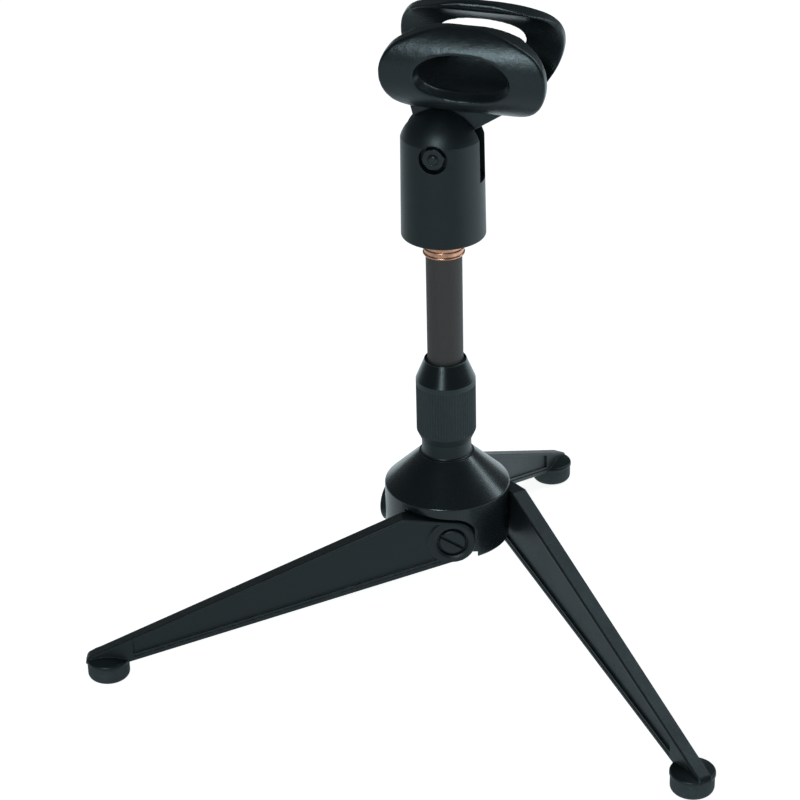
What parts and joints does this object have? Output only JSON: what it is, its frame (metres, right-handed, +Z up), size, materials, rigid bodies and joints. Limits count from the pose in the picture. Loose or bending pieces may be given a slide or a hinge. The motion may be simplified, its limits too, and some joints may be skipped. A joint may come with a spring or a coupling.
{
  "type": "desktop mic stand",
  "caption": "Folding tripod desktop stand with a sliding riser, a clutch collar and a tilting clip for a slim microphone.",
  "frame": {"origin": "on the desk, at the middle of the footprint's bounding rectangle; the riser stands at x 5.13 mm, y -20.25 mm", "axes": "+Z up along the riser; the tilt bolt lies along Y with its nut towards -Y; the microphone lies along X and its right-hand end points to +X, 1.9 degrees down"},
  "size_m": [0.1838, 0.1698, 0.1939],
  "materials": {
    "black_casting": "satin black enamel on a zinc casting",
    "black_steel": "satin black plated turned steel",
    "grey_tube": "matt dark grey lacquer on a steel tube",
    "spring_steel": "spring steel",
    "plated_steel": "zinc plated steel",
    "brass": "turned reddish brass",
    "nylon": "black nylon",
    "foot_rubber": "matt black rubber",
    "black_plastic": "satin moulded plastic",
    "dark_fastener": "black oxide steel",
    "soft_plastic": "semi-gloss flexible moulding"
  },
  "bodies": {
    "hub": {"hub_body": "black_casting", "neck_sleeve": "black_steel", "guide_bush": "nylon", "collet": "nylon", "leg_pivot_screws": "black_steel", "leg_wave_washers": "spring_steel"},
    "leg_left": {"leg_left": "black_casting", "foot_pad_left": "foot_rubber"},
    "leg_right": {"leg_right": "black_casting", "foot_pad_right": "foot_rubber"},
    "leg_rear": {"leg_rear": "black_casting", "foot_pad_rear": "foot_rubber"},
    "clutch": {"clutch_collar": "black_steel"},
    "riser": {"riser_tube": "grey_tube", "riser_stop_ring": "spring_steel", "riser_top_stud": "plated_steel"},
    "socket": {"thread_insert": "brass", "socket_body": "black_plastic", "pivot_bolt": "dark_fastener", "pivot_nut": "dark_fastener", "pivot_washers": "nylon"},
    "clip": {"mic_clip": "soft_plastic"}
  },
  "joints": [
    {"name": "leg_left_fold", "type": "hinge", "parent": "hub", "child": "leg_left", "pos_m": [0.01005, -0.03513, 0.04265], "axis": [0.2588, -0.9659, 0], "range_deg": [0, 68]},
    {"name": "leg_right_fold", "type": "hinge", "parent": "hub", "child": "leg_right", "pos_m": [0.01556, -0.00855, 0.04265], "axis": [0.7071, 0.7071, 0], "range_deg": [0, 68]},
    {"name": "leg_rear_fold", "type": "hinge", "parent": "hub", "child": "leg_rear", "pos_m": [-0.01022, -0.01707, 0.04265], "axis": [-0.9659, 0.2588, 0], "range_deg": [0, 68]},
    {"name": "clutch_turn", "type": "hinge", "parent": "hub", "child": "clutch", "pos_m": [0.00513, -0.02025, 0.08], "axis": [0, 0, 1], "range_deg": [0, 180]},
    {"name": "riser_slide", "type": "slide", "parent": "hub", "child": "riser", "axis": [0, 0, 1], "range_m": [-0.03, 0.014]},
    {"name": "socket_turn", "type": "hinge", "parent": "riser", "child": "socket", "pos_m": [0.00513, -0.02025, 0.135], "axis": [0, 0, 1], "range_deg": [-180, 180]},
    {"name": "clip_tilt", "type": "hinge", "parent": "socket", "child": "clip", "pos_m": [0.00513, -0.02025, 0.1548], "axis": [0, 1, 0], "range_deg": [-85, 65]}
  ]
}
